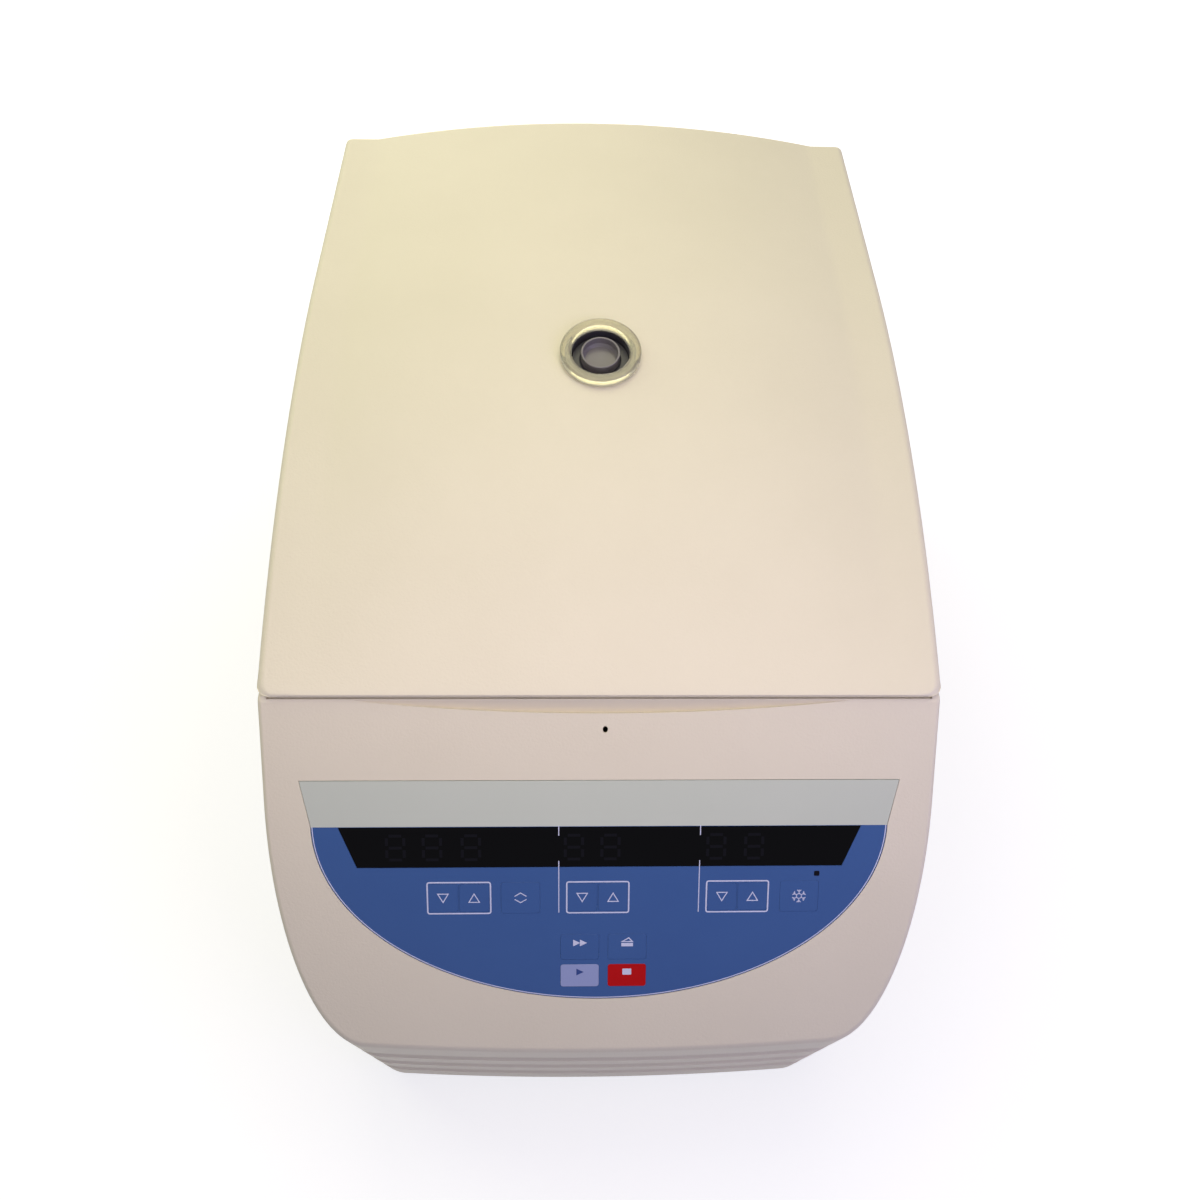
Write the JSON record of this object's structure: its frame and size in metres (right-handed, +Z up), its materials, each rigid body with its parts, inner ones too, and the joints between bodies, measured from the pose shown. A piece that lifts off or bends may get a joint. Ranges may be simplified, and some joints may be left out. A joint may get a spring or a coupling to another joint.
{
  "type": "refrigerated microcentrifuge",
  "caption": "Benchtop refrigerated microcentrifuge: moulded cabinet with a sloping key panel, domed hinged lid with a sight window, and a cooled chamber with a fixed-angle tube rotor.",
  "frame": {"origin": "on the bench, under the middle of the cabinet", "axes": "+Y towards the rear along the cabinet's length, the key panel faces -Y, +Z up"},
  "size_m": [0.29, 0.4689, 0.3017],
  "materials": {
    "housing": "satin",
    "liner": "satin",
    "dark_moulding": "satin",
    "panel_film": "satin",
    "start_film": "satin",
    "stop_film": "satin",
    "display_window": "gloss",
    "clear_plastic": "gloss",
    "frosted_plastic": "satin",
    "rubber": "matte",
    "steel_sheet": "satin",
    "stainless": "satin",
    "rotor_alloy": "satin",
    "foam": "matte",
    "copper": "satin",
    "black_paint": "satin",
    "black_moulding": "satin",
    "fins": "satin",
    "circuit_board": "satin"
  },
  "bodies": {
    "cabinet": {"main_housing": "housing", "base_plate": "steel_sheet", "rear_grille": "dark_moulding", "mains_inlet": "black_moulding", "switch_frame": "black_moulding", "condenser": "fins", "discharge_line": "copper", "power_board": "circuit_board", "lock_frame": "steel_sheet", "hinge_rod": "stainless", "compressor": "black_paint", "foot_front_left": "rubber", "foot_front_right": "rubber", "foot_rear_left": "rubber", "foot_rear_right": "rubber", "hinge_bracket_left": "steel_sheet", "hinge_bracket_right": "steel_sheet", "chamber_bowl": "stainless", "chamber_seal": "rubber", "bowl_insulation": "foam", "evaporator_coil": "copper", "drive_motor": "black_paint", "motor_plate": "steel_sheet", "motor_isolator_front": "rubber", "motor_isolator_left": "rubber", "motor_isolator_right": "rubber", "keypad_overlay": "panel_film", "display_window": "display_window", "control_board": "circuit_board", "fan_frame": "black_moulding"},
    "lid": {"lid_cover": "housing", "lid_liner": "liner", "lid_insulation": "foam", "striker_left": "stainless", "striker_right": "stainless", "hinge_arm_left": "steel_sheet", "hinge_arm_right": "steel_sheet", "window_well": "dark_moulding", "window_ring": "clear_plastic", "window_cup": "frosted_plastic"},
    "rotor": {"drive_spindle": "stainless", "rotor": "rotor_alloy"},
    "rotor_lid": {"rotor_lid": "rotor_alloy", "rotor_lid_knob": "dark_moulding"},
    "fan": {"fan_impeller": "black_moulding"},
    "lock": {"lock_shaft": "stainless"},
    "rocker": {"power_rocker": "black_moulding"},
    "speed_down_key": {"speed_down_key": "panel_film"},
    "speed_up_key": {"speed_up_key": "panel_film"},
    "speed_unit_key": {"speed_unit_key": "panel_film"},
    "time_down_key": {"time_down_key": "panel_film"},
    "time_up_key": {"time_up_key": "panel_film"},
    "temp_down_key": {"temp_down_key": "panel_film"},
    "temp_up_key": {"temp_up_key": "panel_film"},
    "cooling_key": {"cooling_key": "panel_film"},
    "pulse_key": {"pulse_key": "panel_film"},
    "open_key": {"open_key": "panel_film"},
    "start_key": {"start_key": "start_film"},
    "stop_key": {"stop_key": "stop_film"}
  },
  "joints": [
    {"name": "lid_hinge", "type": "hinge", "parent": "cabinet", "child": "lid", "pos_m": [0, 0.227, 0.255], "axis": [-1, 0, 0], "range_deg": [0, 80]},
    {"name": "rotor_spin", "type": "hinge", "parent": "cabinet", "child": "rotor", "pos_m": [0, 0.0458, 0.156], "axis": [0, 0, 1], "continuous": true},
    {"name": "rotor_lid_turn", "type": "hinge", "parent": "rotor", "child": "rotor_lid", "pos_m": [0, 0.0458, 0.206], "axis": [0, 0, 1], "range_deg": [0, 60]},
    {"name": "fan_spin", "type": "hinge", "parent": "cabinet", "child": "fan", "pos_m": [0.0975, -0.095, 0.0618], "axis": [1, 0, 0], "continuous": true},
    {"name": "lock_turn", "type": "hinge", "parent": "cabinet", "child": "lock", "pos_m": [0, -0.0885, 0.2195], "axis": [1, 0, 0], "range_deg": [0, 35]},
    {"name": "rocker_turn", "type": "hinge", "parent": "cabinet", "child": "rocker", "pos_m": [0.072, 0.226, 0.048], "axis": [1, 0, 0], "range_deg": [0, 18]},
    {"name": "speed_down_press", "type": "slide", "parent": "cabinet", "child": "speed_down_key", "axis": [0, 0.68, -0.7332], "range_m": [0, 0.0005], "stiffness_N_per_m": 600},
    {"name": "speed_up_press", "type": "slide", "parent": "cabinet", "child": "speed_up_key", "axis": [0, 0.68, -0.7332], "range_m": [0, 0.0005], "stiffness_N_per_m": 600},
    {"name": "speed_unit_press", "type": "slide", "parent": "cabinet", "child": "speed_unit_key", "axis": [0, 0.68, -0.7332], "range_m": [0, 0.0005], "stiffness_N_per_m": 600},
    {"name": "time_down_press", "type": "slide", "parent": "cabinet", "child": "time_down_key", "axis": [0, 0.68, -0.7332], "range_m": [0, 0.0005], "stiffness_N_per_m": 600},
    {"name": "time_up_press", "type": "slide", "parent": "cabinet", "child": "time_up_key", "axis": [0, 0.68, -0.7332], "range_m": [0, 0.0005], "stiffness_N_per_m": 600},
    {"name": "temp_down_press", "type": "slide", "parent": "cabinet", "child": "temp_down_key", "axis": [0, 0.68, -0.7332], "range_m": [0, 0.0005], "stiffness_N_per_m": 600},
    {"name": "temp_up_press", "type": "slide", "parent": "cabinet", "child": "temp_up_key", "axis": [0, 0.68, -0.7332], "range_m": [0, 0.0005], "stiffness_N_per_m": 600},
    {"name": "cooling_press", "type": "slide", "parent": "cabinet", "child": "cooling_key", "axis": [0, 0.68, -0.7332], "range_m": [0, 0.0005], "stiffness_N_per_m": 600},
    {"name": "pulse_press", "type": "slide", "parent": "cabinet", "child": "pulse_key", "axis": [0, 0.68, -0.7332], "range_m": [0, 0.0005], "stiffness_N_per_m": 600},
    {"name": "open_press", "type": "slide", "parent": "cabinet", "child": "open_key", "axis": [0, 0.68, -0.7332], "range_m": [0, 0.0005], "stiffness_N_per_m": 600},
    {"name": "start_press", "type": "slide", "parent": "cabinet", "child": "start_key", "axis": [0, 0.68, -0.7332], "range_m": [0, 0.0005], "stiffness_N_per_m": 600},
    {"name": "stop_press", "type": "slide", "parent": "cabinet", "child": "stop_key", "axis": [0, 0.68, -0.7332], "range_m": [0, 0.0005], "stiffness_N_per_m": 600}
  ]
}
